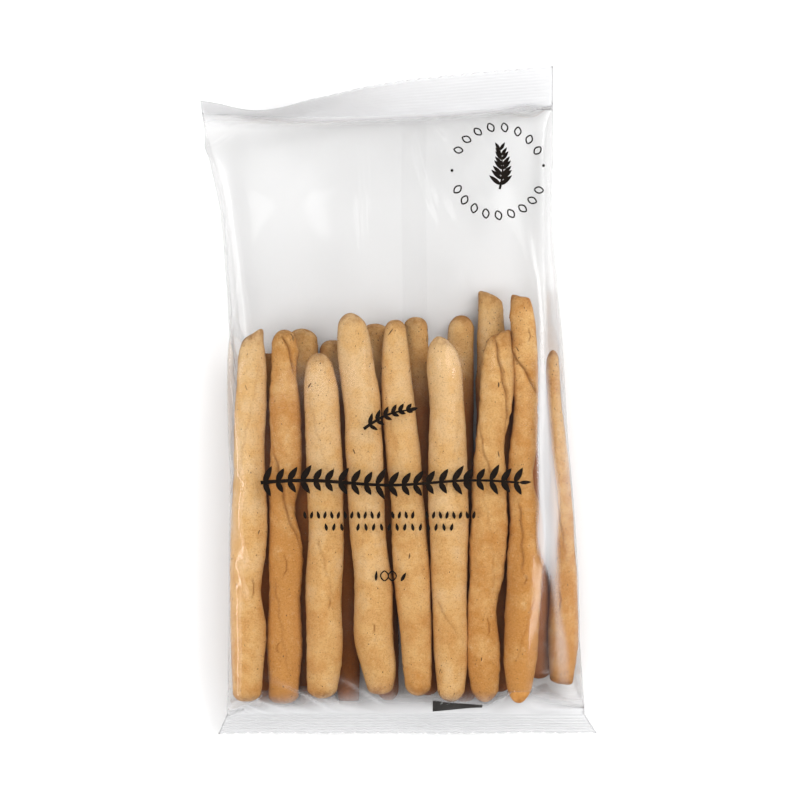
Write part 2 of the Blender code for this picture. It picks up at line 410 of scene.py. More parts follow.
def close_poles(points):
    """Closes both end rings on the mean of each, so that the stick is shut."""
    points[0] = points[0].mean(axis=0)
    points[-1] = points[-1].mean(axis=0)
    return points


def make_stick(name, stops, tone, **shape):
    """A stick object with the painted shade of its grooves and flanks, its ends and its tone as attributes.
    """
    points, groove_and_flank_shade, ends = stick_surface(name, stops, **shape)
    along, around = groove_and_flank_shade.shape
    points = close_poles(points)
    body = points[1:-1].reshape(-1, 3)
    all_points = np.vstack([body, points[0, :1], points[-1, :1]])
    quads = grid_faces(along - 2, around, closed=True)
    ring = np.arange(around)
    low_pole, high_pole = len(body), len(body) + 1
    last = (along - 3) * around
    caps = np.vstack([
        np.stack([(ring + 1) % around, ring, np.full(around, low_pole)], axis=1),
        np.stack([last + ring, last + (ring + 1) % around, np.full(around, high_pole)], axis=1),
    ])
    triangles = np.vstack([quads[:, [0, 1, 2]], quads[:, [0, 2, 3]], caps])
    masks = {"groove_and_flank_shade": groove_and_flank_shade, "ends": ends}
    attributes = {title: np.append(values[1:-1].ravel(), [values[0, 0], values[-1, 0]])
                  for title, values in masks.items()}
    # painted shade: the tone attribute is made darker towards the foot of the sticks
    attributes["tone"] = tone + LOWER_SHADE * ease((HEAD_Y - all_points[:, 1]) / 100.0)
    return mesh_object(name, all_points, triangles, attributes)


print("a front stick has", 2 * AROUND * (ALONG - 2), "triangles")

# %% [markdown]
# What makes these sticks look rolled by hand is where each one differs: a blunt or a drawn-out end, a seam
# that winds part of the way round, a crack where the crust split in the oven, and how brown it is. A tone of
# 0 is the palest crust and 1 the brownest. A cap of 1 mm is an end torn or cut square, and one of 4 mm is a
# rounded point. Angles of seams and cracks count from the top, and are positive towards +X.

# %% The sticks, one by one
STICK_SHAPES = {
    "front_1": dict(tone=0.15, cap_low=2.6, cap_high=1.6, slant=(0, 2.0), lumpy=0.3,
                    seams=[(14, -30, 40, -50, 0.3)], cracks=[(-52, -60, 20, 15, 0.3)]),
    "front_2": dict(tone=0.8, cap_low=2.6, cap_high=2.6, slant=(0, 0.6), lumpy=0.34,
                    seams=[(20.5, 6, -10, 75, 0.95), (-12, -46, -60, 80, 0.75), (-52, -86, -40, 30, 0.35)],
                    cracks=[(-45, -54, -14, 20, 0.4), (-71.5, -76.5, 5, -30, 0.4)]),
    "front_3": dict(tone=0.15, cap_low=3.0, cap_high=3.2, cracks=[(-58, -63, 10, 12, 0.3)],
                    seams=[(9, -30, -60, 30, 0.25), (-40, -60, -30, 40, 0.35)]),
    "front_4": dict(tone=0.14, cap_low=2.4, cap_high=4.2, seams=[(20, -58, 60, -35, 0.2)],
                    cracks=[(-66, -70, -5, 10, 0.25)]),
    "front_5": dict(tone=0.25, cap_low=3.2, cap_high=2.6, seams=[(14, -60, -70, 60, 0.22)]),
    "front_6": dict(tone=0.1, cap_low=3.6, cap_high=3.4, cracks=[(-22, -27, -20, 15, 0.25)],
                    seams=[(8, -34, 70, -10, 0.2), (-58, -71, -55, 30, 0.4)]),
    "front_7": dict(tone=0.5, cap_low=4.2, cap_high=1.2, slant=(0, 1.2), lumpy=0.4,
                    seams=[(21, -12, -25, 88, 1.05), (-4, -30, -70, 40, 0.5), (-24, -60, -30, 50, 0.3)],
                    cracks=[(-64, -71, 15, 12, 0.3)]),
    "front_8": dict(tone=0.7, cap_low=4.8, cap_high=1.0, slant=(0, -0.4), lumpy=0.34,
                    seams=[(15, 0, -60, 92, 1.0), (-29, -53, -20, -6, 0.6), (-56, -80, 50, -20, 0.35)],
                    cracks=[(-51, -56, -15, 20, 0.5), (22, 17, 20, 10, 0.3)]),
    "front_9": dict(tone=0.6, cap_low=1.6, cap_high=3.0, slant=(-0.8, 0), seams=[(-10, -50, -60, 20, 0.3)],
                    cracks=[(-56, -64, -25, 10, 0.3)]),
}
BACK_SHAPES = {
    "back_1": dict(tone=0.8, cap_high=1.6), "back_2": dict(tone=0.5, cap_high=3.4),
    "back_3": dict(tone=0.6, cap_high=3.0), "back_4": dict(tone=0.5, cap_high=2.8),
    "back_5": dict(tone=0.5), "back_6": dict(tone=0.5, cap_high=4.5), "back_8": dict(tone=0.8),
    "back_7": dict(tone=0.35, cap_high=1.4, slant=(0, -1.6)),
}
BACK_COMMON = dict(cap_low=3.2, cap_high=2.8, seams=[(0, -50, -60, 50, 0.25)], around=56, along=200)

sticks = {}
for number, (name, stops) in enumerate(FRONT_STICKS.items()):
    sticks[name] = make_stick(name, stops, seed=100 + 10 * number, **STICK_SHAPES[name])
for number, (name, stops) in enumerate(BACK_STICKS.items()):
    sticks[name] = make_stick(name, stops, seed=300 + 10 * number, **{**BACK_COMMON, **BACK_SHAPES[name]})
print(len(sticks), "sticks,", sum(len(stick.data.polygons) for stick in sticks.values()), "triangles")

# %% [markdown]
# ## Baked crust
# The crust is cream on top of a stick and browner at its ends. Its flanks and grooves are darkened as painted
# shade, and its tone is made darker towards the foot of the sticks, as painted shade too. It is never one
# colour:
# clouds almost a centimetre wide, patches a few millimetres wide and fine pores are three noises at three
# sizes, and flour lies in some of the patches. They go into one node group, because the crust of the front
# layer and that of the darker back layer both use it; the back layer also gets painted shade below its head.


# %% Node helpers
def add_node(tree, kind, **inputs):
    """A shader node of a kind, with plain values on its named inputs."""
    node = tree.nodes.new("ShaderNode" + kind)
    for title, value in inputs.items():
        node.inputs[title.replace("_", " ")].default_value = value
    return node


def mix_colours(tree, share, first, second):
    """A Mix node on colours, and its result. Each of the three is a socket or a plain value."""
    node = tree.nodes.new("ShaderNodeMix")
    node.data_type = "RGBA"
    for socket, value in zip((node.inputs[0], node.inputs[6], node.inputs[7]), (share, first, second)):
        if isinstance(value, bpy.types.NodeSocket):
            tree.links.new(value, socket)
        else:
            socket.default_value = value
    return node.outputs[2]


def maths(tree, operation, first, second=0.0, clamp=False):
    """A Math node on two sockets or numbers, and its result."""
    node = tree.nodes.new("ShaderNodeMath")
    node.operation = operation
    node.use_clamp = clamp
    for socket, value in zip(node.inputs, (first, second)):
        if isinstance(value, bpy.types.NodeSocket):
            tree.links.new(value, socket)
        else:
            socket.default_value = value
    return node.outputs[0]


def noise(tree, place, size, detail=2.0, roughness=0.5, distortion=0.0):
    """Noise with features of about size mm, on object coordinates."""
    node = add_node(tree, "TexNoise", Scale=1.0 / (size * MM), Detail=detail, Roughness=roughness,
                    Distortion=distortion)
    tree.links.new(place, node.inputs["Vector"])
    return node.outputs["Fac"]


def rgb(red, green, blue):
    """A colour from its 0 to 255 values on a screen, turned into the linear light that nodes use."""
    parts = np.array([red, green, blue]) / 255
    linear = np.where(parts <= 0.04045, parts / 12.92, ((parts + 0.055) / 1.055) ** 2.4)
    return (*linear.tolist(), 1.0)


def new_group(name, inputs, outputs):
    """The tree, the input node and the output node of a new node group with named sockets."""
    tree = bpy.data.node_groups.new(name, "ShaderNodeTree")
    for title, kind, default in inputs:
        socket = tree.interface.new_socket(title, in_out="INPUT", socket_type="NodeSocket" + kind)
        socket.default_value = default
    for title, kind in outputs:
        tree.interface.new_socket(title, in_out="OUTPUT", socket_type="NodeSocket" + kind)
    return tree, tree.nodes.new("NodeGroupInput"), tree.nodes.new("NodeGroupOutput")


def new_material(name):
    """A material with an empty tree, its output node and the object coordinates."""
    material = bpy.data.materials.new(name)
    material.use_nodes = True
    tree = material.node_tree
    tree.nodes.clear()
    place = tree.nodes.new("ShaderNodeTexCoord").outputs["Object"]
    return material, tree, tree.nodes.new("ShaderNodeOutputMaterial"), place


# %% The crust's node group
PALE_CRUST = rgb(227, 190, 138)
GOLDEN_CRUST = rgb(220, 174, 111)
BROWN_CRUST = rgb(200, 142, 74)
DARK_CRUST = rgb(132, 76, 24)
SHADED_CRUST = rgb(136, 68, 16)
FLOUR = rgb(226, 201, 158)

crust_tree, group_in, group_out = new_group(
    "crust",
    [("Tone", "Float", 0.5), ("Groove_and_flank_shade", "Float", 0.0), ("Ends", "Float", 0.0),
     ("Place", "Vector", (0, 0, 0))],
    [("Colour", "Color"), ("Height", "Float"), ("Roughness", "Float")],
)
tone, groove_and_flank_shade_mask, ends_mask, crust_place = group_in.outputs[:4]
clouds = noise(crust_tree, crust_place, 9.0, detail=3.0, roughness=0.6)
patches = noise(crust_tree, crust_place, 2.6, detail=3.0, roughness=0.65)
pores = noise(crust_tree, crust_place, 0.5, detail=3.0, roughness=0.7)
# the tone already holds painted shade lower down on the sticks
bake_and_shade = maths(crust_tree, "ADD", tone, remap(crust_tree, clouds, 0.3, 0.7, -0.25, 0.25))
bake_and_shade = maths(crust_tree, "ADD", bake_and_shade, remap(crust_tree, patches, 0.32, 0.7, -0.1, 0.12), clamp=True)
ramp = crust_tree.nodes.new("ShaderNodeValToRGB")
ramp.color_ramp.elements[0].color = PALE_CRUST
ramp.color_ramp.elements[1].color = BROWN_CRUST
ramp.color_ramp.elements.new(0.45).color = GOLDEN_CRUST
crust_tree.links.new(bake_and_shade, ramp.inputs["Fac"])
floury = maths(crust_tree, "MULTIPLY", remap(crust_tree, patches, 0.42, 0.24),
               remap(crust_tree, clouds, 0.62, 0.4))
crust_layers = (  # how much of each colour lies over the one before
    (maths(crust_tree, "MULTIPLY", floury, 0.25), FLOUR),
    (remap(crust_tree, pores, 0.55, 0.25, 0.0, 0.4), DARK_CRUST),
    (remap(crust_tree, pores, 0.58, 0.75, 0.0, 0.5), FLOUR),
    (maths(crust_tree, "MULTIPLY", ends_mask, remap(crust_tree, patches, 0.25, 0.75, 0.1, 0.75)), DARK_CRUST),
    # painted shade: grooves and flanks are darkened towards DARK_CRUST
    (maths(crust_tree, "MULTIPLY", groove_and_flank_shade_mask, 0.8), DARK_CRUST),
)
crust_colour = ramp.outputs["Color"]
for share, colour in crust_layers:
    crust_colour = mix_colours(crust_tree, share, crust_colour, colour)
swells = maths(crust_tree, "MULTIPLY", patches, 0.5)
relief = maths(crust_tree, "ADD", swells, maths(crust_tree, "MULTIPLY", pores, 0.6))
for value, title in ((crust_colour, "Colour"), (relief, "Height"),
                     (remap(crust_tree, patches, 0.3, 0.7, 0.55, 0.75), "Roughness")):
    crust_tree.links.new(value, group_out.inputs[title])
print("crust group:", len(crust_tree.nodes), "nodes")


# %% Crust on the sticks
SHADED_OVER = 20.0
MOST_SHADED = 0.8


def crust_material(name, relief_mm, shaded_from=None):
    """A crust whose tone, painted shade of grooves and flanks, and ends come from the stick's own attributes.

    Below the Y given as shaded_from, in mm, it turns to the shaded colour over SHADED_OVER, as painted shade,
    because the front layer keeps the light from the back layer there.
    """
    material, tree, output, place = new_material(name)
    crust = tree.nodes.new("ShaderNodeGroup")
    crust.node_tree = crust_tree
    tree.links.new(place, crust.inputs["Place"])
    for title in ("tone", "groove_and_flank_shade", "ends"):
        attribute = tree.nodes.new("ShaderNodeAttribute")
        attribute.attribute_name = title
        tree.links.new(attribute.outputs["Fac"], crust.inputs[title.capitalize()])
    bump = add_node(tree, "Bump", Strength=1.0, Distance=relief_mm * MM)
    skin = add_node(tree, "BsdfPrincipled", IOR=1.42, Specular_IOR_Level=0.3)
    tree.links.new(crust.outputs["Height"], bump.inputs["Height"])
    colour = crust.outputs["Colour"]
    if shaded_from is not None:
        axes = tree.nodes.new("ShaderNodeSeparateXYZ")
        tree.links.new(place, axes.inputs[0])
        under = remap(tree, axes.outputs["Y"], (shaded_from - SHADED_OVER) * MM, shaded_from * MM,
                      MOST_SHADED, 0.0)
        colour = mix_colours(tree, under, colour, SHADED_CRUST)
    tree.links.new(colour, skin.inputs["Base Color"])
    tree.links.new(crust.outputs["Roughness"], skin.inputs["Roughness"])
    tree.links.new(bump.outputs["Normal"], skin.inputs["Normal"])
    tree.links.new(skin.outputs["BSDF"], output.inputs["Surface"])
    return material


front_crust = crust_material("front_crust", 0.45)
# painted shade: the back crust turns to SHADED_CRUST below Y 14 mm, where the front layer shades it
back_crust = crust_material("back_crust", 0.5, shaded_from=14.0)
for name, stick in sticks.items():
    stick.data.materials.append(front_crust if name in FRONT_STICKS else back_crust)
    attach(stick, "root")

# %% [markdown]
# ## Rosemary
# Chopped rosemary is kneaded into the dough. In the oven the bits at the surface turn brown and dull. Most
# are crumbs well under a millimetre, and a few are whole lengths of needle that lie much the way the dough
# was rolled. Each bit is a small spindle, more than half sunk in the crust, and all bits of a kind are one
# joined mesh, because two thousand tiny objects would slow the scene down.


# %% Spindles set in the crust
SPOTS_LENGTH = 110.0


def spindles(centres, along, up, length, width, rings, around):
    """Closed spindles: a circle carried along a line, wide in the middle and shut at both tips.

    The arrays hold one row for each spindle, and rings and around say how many points each one has.
    """
    across = np.cross(up, along)
    t = np.linspace(0, 1, rings)
    swell = np.sqrt(np.clip(1 - (2 * t - 1) ** 2, 0, 1)) + 0.02
    turn = np.linspace(0, 2 * np.pi, around, endpoint=False)
    ring = (np.cos(turn)[:, None, None] * across[None] + np.sin(turn)[:, None, None] * up[None])
    line = (t[:, None, None] - 0.5) * (along * length[:, None])[None]
    points = line[:, None] + swell[:, None, None, None] * ring[None] * (width / 2)[None, None, :, None]
    points = (points + centres).transpose(2, 0, 1, 3)
    faces = grid_faces(rings, around, closed=True)
    offsets = np.arange(len(centres))[:, None, None] * rings * around
    quads = (faces[None] + offsets).reshape(-1, 4)
    return points.reshape(-1, 3), quads


def crust_spots(count, seed, sunk):
    """Random spots on the crusts, sunk by some mm: centres, ways they lie and outward normals.

    count is how many a stick of SPOTS_LENGTH has, and none is within 2 mm of an end.
    """
    rng = np.random.default_rng(seed)
    centres, alongs, ups = [], [], []
    for stick in sticks.values():
        here = np.empty(len(stick.data.vertices) * 3, np.float32)
        stick.data.vertices.foreach_get("co", here)
        out = np.empty_like(here)
        stick.data.vertices.foreach_get("normal", out)
        here, out = here.reshape(-1, 3) / MM, out.reshape(-1, 3)
        share = int(count * np.ptp(here[:, 1]) / SPOTS_LENGTH)
        inner = abs(here[:, 1] - here[:, 1].mean()) < np.ptp(here[:, 1]) / 2 - 2
        pick = rng.choice(np.flatnonzero(inner), share, replace=False)
        lean = rng.normal(0, 0.5, share)
        side = np.cross(out[pick], (0, 1, 0))
        way = np.array((0, 1.0, 0)) * np.cos(lean)[:, None] + side * np.sin(lean)[:, None]
        way -= out[pick] * (way * out[pick]).sum(axis=1, keepdims=True)
        centres.append(here[pick] - out[pick] * sunk)
        alongs.append(way / np.linalg.norm(way, axis=1, keepdims=True))
        ups.append(out[pick])
    return np.vstack(centres), np.vstack(alongs), np.vstack(ups)


def rosemary(name, count, length, width, sunk, rings, around, seed):
    """One joined mesh of rosemary bits, whose length and width are drawn evenly from two ranges."""
    centres, along, up = crust_spots(count, seed, sunk)
    rng = np.random.default_rng(seed + 1)
    points, quads = spindles(centres, along, up, rng.uniform(*length, len(centres)),
                             rng.uniform(*width, len(centres)), rings, around)
    print(name, len(centres), "bits,", 2 * len(quads), "triangles")
    return mesh_object(name, points, quads)


needles = rosemary("rosemary_needles", 6, (1.2, 3.0), (0.35, 0.6), 0.1, 7, 7, 21)
crumbs = rosemary("rosemary_crumbs", 135, (0.3, 0.75), (0.2, 0.42), 0.06, 4, 6, 22)


# %% Burnt herb
def two_tone(name, first, second, size, turn=None, detail=2.0, roughness=0.5, **skin_values):
    """A material that changes from one colour to a second in cloudy patches of about size mm.

    It changes between the two values of the noise in turn, or evenly with the noise if there are none.
    """
    material, tree, output, place = new_material(name)
    share = noise(tree, place, size, detail, roughness)
    if turn is not None:
        share = remap(tree, share, *turn)
    skin = add_node(tree, "BsdfPrincipled", **skin_values)
    tree.links.new(mix_colours(tree, share, first, second), skin.inputs["Base Color"])
    tree.links.new(skin.outputs["BSDF"], output.inputs["Surface"])
    return material


DRY_HERB = rgb(146, 108, 62)
BURNT_HERB = rgb(96, 66, 34)
herb = two_tone("burnt_rosemary", BURNT_HERB, DRY_HERB, 1.4, turn=(0.4, 0.65), IOR=1.45, Roughness=0.6)
for bits in (needles, crumbs):
    bits.data.materials.append(herb)
    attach(bits, "root")

# %% [markdown]
# ## The outline of the bag
# The bag starts as a flat tube of film. Its two ends are hot bars' work: a straight ribbed weld at the
# bottom, and one at the top that stands up at the left and lies down at the right, since the bag is only
# part full and its head has twisted. Between the welds, two side folds run from end to end. The numbers
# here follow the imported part's outline, because that is the space that the film may take up.

# %% Seals and side folds
LEFT_SIDE = [(-92.4, -52.0), (-60, -51.3), (-15, -50.6), (15, -49.8), (45, -51.9), (60, -53.6), (74, -57.6),
             (86.4, -59.3)]
RIGHT_SIDE = [(-92.4, 55.4), (-60, 53.2), (-15, 50.4), (15, 48.9), (45, 46.4), (60, 45.4), (74, 46.2),
              (86.4, 46.1)]
TOP_WELD_LEFT, TOP_WELD_RIGHT = -59.3, 46.1
TOP_WELD_Y = [(-59.3, 85.8), (-40, 85.2), (10, 86.6), (46.1, 89.0)]
TOP_WELD_Z = [(-59.3, 12.6), (-41, 7.4), (-16, 3.6), (18, 3.2), (46.1, 3.6)]
TOP_WELD_LIFT = [(-59.3, 74.0), (-41, 84.0), (-28, 68.0), (-12, 48.0), (12, 24.0), (46.1, 3.0)]
TOP_WELD_TALL = 11.4
BOTTOM_WELD_LEFT, BOTTOM_WELD_RIGHT = -52.0, 55.4
BOTTOM_WELD_Y, BOTTOM_WELD_Z = -94.4, 6.4
BOTTOM_WELD_TALL = 6.7
BOTTOM_WELD_DROP = 28.0
BOTTOM_EDGE_LEFT, BOTTOM_EDGE_RIGHT = -54.7, 59.3
print("cut edge", BOTTOM_EDGE_RIGHT - BOTTOM_EDGE_LEFT, "mm at the bottom,",
      TOP_WELD_RIGHT - TOP_WELD_LEFT, "mm at the top")

# %% [markdown]
# ## Letting the film settle
# Film bends but hardly stretches, and that is what gives a bag its folds, so they are found by a small
# simulation and not drawn. The tube is a net of points tied by threads of fixed length. In each step every
# point carries on as it moved, the air in the head of the bag pushes it outwards, each thread pulls its two
# ends back to its length, and points that got into a stick or the table are put back on its surface. Film
# remembers how it was handled, so a roof of creases and dents limits how far the air can lift it. Three nets,
# each twice as fine as the last, settle one after the other: the coarse one finds the large folds quickly,
# and the fine one only has to smooth them.


# %% How the film may settle
BAG_TOP = 20.8  # the height of the roof before its creases and dents
ROOF_WAVES, ROOF_WAVE_LENGTH = 1.8, 34.0  # how far the film over the air dips and swells, and in what length
ROOF_DENTS = ((-40.0, 74.0, 9.0, 6.0), (-20.0, 55.0, 8.0, 2.5), (22.0, 42.0, 9.0, 3.0))  # X, Y, broad, deep
ROOF_FIRM = 1.5  # how many times the air's push the roof pushes back for each mm over it
AIR_FROM, AIR_OVER = 14.0, 22.0  # the Y where the air's full push starts to grow, and over how far it does
FILM_ABOVE_TABLE = 0.2
SHEETS_APART = 0.2  # the least between front and back
FILM_AROUND_HALF = 113.6  # of film, from one side fold to the other
FILM_LENGTH = 191.6  # of film between the welds
BOTTOM_OPENS, TOP_OPENS = (10.0, 6.0), (18.0, 9.0)  # how far from a weld the tube widens, and how much
BACK_SHORTER = 7.0  # by which the bars drew the back tighter than the front
KEPT_SPEED = 0.95  # share of its speed that a point keeps from step to step
THREAD_PULL, SLANT_PULL = 0.5, 0.3  # share of its error that a thread takes up at each of its two ends
FOLD_PULL = 0.2  # share of the way to its outline that a side fold moves in a step
STICK_GAP = 0.42  # from a stick to the film's middle, so that neither cuts the other
table_sticks = [lies[name] for name in (*BACK_STICKS, *FRONT_STICKS)]
print("flat film:", FILM_AROUND_HALF, "by", FILM_LENGTH, "mm between the welds")


# %% Film net
def ends_of_net(columns):
    """The net's first row, in the bottom weld, and its last, in the top weld, where it is held.

    Column 0 is the left side fold. Columns run over the front to the right fold, then back underneath. Also
    each column's share of the way from left to right, and its side: 1 in front, -1 behind and 0 on a fold.
    """
    half = columns // 2
    column = np.arange(columns)
    share = np.where(column <= half, column / half, 2 - column / half)
    x = BOTTOM_WELD_LEFT + share * (BOTTOM_WELD_RIGHT - BOTTOM_WELD_LEFT)
    bottom = np.stack([x, np.full(columns, BOTTOM_WELD_Y), np.full(columns, BOTTOM_WELD_Z)], axis=1)
    x = TOP_WELD_LEFT + share * (TOP_WELD_RIGHT - TOP_WELD_LEFT)
    top = np.stack([x, line_through(TOP_WELD_Y, x), line_through(TOP_WELD_Z, x)], axis=1)
    return bottom, top, share, np.sign(half - column) * (column > 0)


def first_net(rows, columns, seed):
    """A pillow between the welds: rounded-off boxes of film as wide as the bag at each Y, slightly uneven.

    It opens over the lowest 6 hundredths of its length and closes over the top 3 tenths.
    """
    bottom, top, share, side = ends_of_net(columns)
    v = np.linspace(0, 1, rows + 1)
    y = BOTTOM_WELD_Y + v * (top[:, 1].mean() - BOTTOM_WELD_Y)
    left, right = line_through(LEFT_SIDE, y), line_through(RIGHT_SIDE, y)
    open_here = ease(v / 0.06) * np.sin(np.pi / 2 * np.clip((1 - v) / 0.3, 0, 1))
    net = bottom[None] * (1 - v[:, None, None]) + top[None] * v[:, None, None]
    net[..., 0] = left[:, None] + share * (right - left)[:, None]
    dome = (1 - abs(2 * share - 1) ** 4) ** 0.25
    goal = np.where(side > 0, BAG_TOP, 0.3)
    net[..., 2] += open_here[:, None] * dome * np.where(side == 0, 0, goal - net[..., 2])
    net[1:-1] += np.random.default_rng(seed).normal(0, 0.2, net[1:-1].shape)
    return net


def finer(net, rows, columns):
    """The same net read at more rows and columns, by a cubic through each four neighbours."""
    def cubic(net, at, pick):
        """The net between its rows, where pick gives row k however far k is past an end."""
        k = np.floor(at).astype(int)
        t = (at - k)[:, None, None]
        a, b, c, d = (pick(net, k + i) for i in (-1, 0, 1, 2))
        return b + 0.5 * t * (c - a + t * (2 * a - 5 * b + 4 * c - d + t * (3 * (b - c) + d - a)))

    net = cubic(net, np.linspace(0, len(net) - 1, rows + 1), lambda n, i: n[np.clip(i, 0, len(n) - 1)])
    turned = net.transpose(1, 0, 2)
    turned = cubic(turned, np.arange(columns) * len(turned) / columns, lambda n, i: n[i % len(n)])
    return turned.transpose(1, 0, 2).copy()


# %% Threads, sticks and steps
def tie(first, second, length, share):
    """Pulls or pushes two equal parts of the net, point by point, towards the length of their threads."""
    apart = second - first
    now = np.sqrt(np.einsum("...i,...i", apart, apart)) + 1e-9
    pull = (share * (now - length) / now)[..., None] * apart
    first += pull
    second -= pull


def tie_all(net, step_u, step_v, cross):
    """Ties every thread of the net once: round the tube, along it, and both ways across each mesh.

    Threads that share a point are tied in turn, every other one at a time, so that each pull counts.
    """
    tie(net[:, 0::2], net[:, 1::2], step_u, THREAD_PULL)
    tie(net[:, 1:-1:2], net[:, 2::2], step_u, THREAD_PULL)
    tie(net[:, -1], net[:, 0], step_u[:, 0], THREAD_PULL)
    for row in (0, 1):
        tie(net[row:-1:2], net[row + 1 :: 2], step_v, THREAD_PULL)
    for row in (0, 1):
        slant = cross[row:-1:2]
        tie(net[row:-1:2, :-1], net[row + 1 :: 2, 1:], slant[:, 1:], SLANT_PULL)
        tie(net[row:-1:2, -1], net[row + 1 :: 2, 0], slant[:, 0], SLANT_PULL)
        tie(net[row:-1:2, 1:], net[row + 1 :: 2, :-1], slant[:, 1:], SLANT_PULL)
        tie(net[row:-1:2, 0], net[row + 1 :: 2, -1], slant[:, 0], SLANT_PULL)


def rows_of_table(y):
    """The row of table_y at or next below each Y."""
    return np.clip((y - table_y[0]) / (table_y[1] - table_y[0]), 0, len(table_y) - 1).astype(int)


def keep_out_of_sticks(net):
    """Puts points that are inside a stick back on its surface, straight away from its middle line."""
    at = rows_of_table(net[..., 1])
    for middle, height, thick in table_sticks:
        room = np.where(thick > 0, thick + STICK_GAP, 0)[at]
        off_x, off_z = net[..., 0] - middle[at], net[..., 2] - height[at]
        grow = np.maximum(room / np.sqrt(off_x**2 + off_z**2 + 1e-9) - 1, 0)
        net[..., 0] += off_x * grow
        net[..., 2] += off_z * grow


def settle(net, rounds, puff, lift, bend):
    """Runs the net for some rounds and returns it.

    puff is the push of the air in the head of the bag and lift its fainter push over the sticks, both in mm a
    step. bend is the share by which a point moves towards the middle of its neighbours.
    """
    rows, columns = len(net) - 1, net.shape[1]
    half = columns // 2
    bottom, top = ends_of_net(columns)[:2]
    down = np.linspace(0, FILM_LENGTH, rows + 1)
    weld = np.hypot(*np.diff(top[: half + 1, [0, 2]], axis=0).T).sum()
    opened = [np.clip(far / over, 0, 1) * more
              for far, (over, more) in ((down, BOTTOM_OPENS), (FILM_LENGTH - down, TOP_OPENS))]
    narrow = (BOTTOM_WELD_RIGHT - BOTTOM_WELD_LEFT) + opened[0]
    wide = np.minimum(np.minimum(FILM_AROUND_HALF, narrow), weld + opened[1])
    back = np.sin(np.pi * np.clip(np.arange(columns) - half, 0, half) / half)
    step_u, step_v = (wide / half)[:, None], (FILM_LENGTH - BACK_SHORTER * back) / rows
    cross = np.hypot(step_u, step_v)
    creases = waves(net * (1.0, 0.7, 0.0), ROOF_WAVE_LENGTH, seed=7, count=5, creased=True)
    roof = BAG_TOP + ROOF_WAVES * creases
    for at_x, at_y, broad, deep in ROOF_DENTS:
        roof -= deep * np.exp(-((net[..., 0] - at_x) ** 2 + (net[..., 1] - at_y) ** 2) / broad**2)
    before = net.copy()
    for _ in range(rounds):
        speed = (net - before) * KEPT_SPEED
        before = net.copy()
        net += speed
        out = np.cross((np.roll(net, -1, 1) - np.roll(net, 1, 1))[1:-1], net[2:] - net[:-2])
        out /= np.sqrt((out * out).sum(-1, keepdims=True)) + 1e-9
        head = ease((net[1:-1, :, 1] - AIR_FROM) / AIR_OVER)
        net[1:-1] += (puff * head + lift * (1 - head))[..., None] * out
        for _ in range(2):
            tie_all(net, step_u, step_v, cross)
            net[0], net[-1] = bottom, top
        net[1:-1] += bend * (0.5 * (np.roll(net, 1, 1) + np.roll(net, -1, 1)) - net)[1:-1]
        net[1:-1] += bend * (0.5 * (net[2:] + net[:-2]) - net[1:-1])
        keep_out_of_sticks(net)
        shut = np.clip(SHEETS_APART - (net[1:-1, 1:half, 2] - net[1:-1, :half:-1, 2]), 0, None) / 2
        net[1:-1, 1:half, 2] += shut
        net[1:-1, :half:-1, 2] -= shut
        net[..., 2] = np.maximum(net[..., 2], FILM_ABOVE_TABLE)
        net[1:-1, :, 2] -= ROOF_FIRM * puff * np.clip(net[1:-1, :, 2] - roof[1:-1], 0, None)
        for column, outline in ((0, LEFT_SIDE), (half, RIGHT_SIDE)):
            want = line_through(outline, net[1:-1, column, 1])
            net[1:-1, column, 0] += FOLD_PULL * (want - net[1:-1, column, 0])
        net[0], net[-1] = bottom, top
    return net


# %% Three nets, from coarse to fine
net = settle(first_net(54, 64, seed=1), 900, puff=0.006, lift=0.0012, bend=0.03)
net = settle(finer(net, 108, 128), 500, puff=0.003, lift=0.0006, bend=0.03)
net = settle(finer(net, 216, 256), 160, puff=0.0012, lift=0.0003, bend=0.04)
print("settled net:", net.shape, "from", net.min(axis=(0, 1)).round(1), "to", net.max(axis=(0, 1)).round(1))

# %% [markdown]
# ## Welds and the film's surface
# Beyond the net's first and last rows the two sheets are melted together, so the same columns simply run on
# as a flat strip. The hot bars leave fine ribs along it, and the knife a tiny zigzag at its edge. The strip
# keeps a front and a back, a third of a millimetre apart, so that the film is one closed surface.

# %% Weld strips
RIB_PITCH = 0.95  # from rib to rib
RIB_DEPTHS = {"bottom": 0.13, "top": 0.02}  # the top bars were smoother
WELD_HALF_THICK = 0.16
ZIGZAG = 0.22  # how far the cut edge stands in and out
ROWS_PER_RIB = 6


def weld_strip(weld_row, edge_left, edge_right, tall, lift, outward, rib_depth, seed):
    """Rows of points from a weld out to the cut edge.

    A point moves out from the weld by its reach, in a direction that rises by the lift angle. Ribs are a
    wave in the reach. The front and back sheets stand half a thickness to either side of the middle.
    """
    columns = len(weld_row)
    share, side = ends_of_net(columns)[2:]
    reach = np.linspace(0, tall, int(tall / RIB_PITCH * ROWS_PER_RIB))[1:, None]
    x = weld_row[:, 0] + (edge_left + share * (edge_right - edge_left) - weld_row[:, 0]) * reach / tall
    zigzag = ZIGZAG * np.where(np.arange(columns) % 4 < 2, 1, -1) * (reach > tall - 0.01)
    shut = ease((tall - reach) / 0.4) * ease(reach / 1.2)
    swell = 0.45 * waves(np.stack([x, reach + 0 * x, 0 * x], axis=-1), 16.0, seed) * ease(reach / 4)
    ribs = rib_depth * np.sin(2 * np.pi * reach / RIB_PITCH) * ease(reach)
    off = swell + side * WELD_HALF_THICK * shut + ribs
    rise = np.radians(lift)
    y = weld_row[:, 1] + outward * ((reach + zigzag) * np.cos(rise) - off * np.sin(rise))
    z = weld_row[:, 2] + (reach + zigzag) * np.sin(rise) + off * np.cos(rise)
    return np.stack([x, y, z], axis=-1)


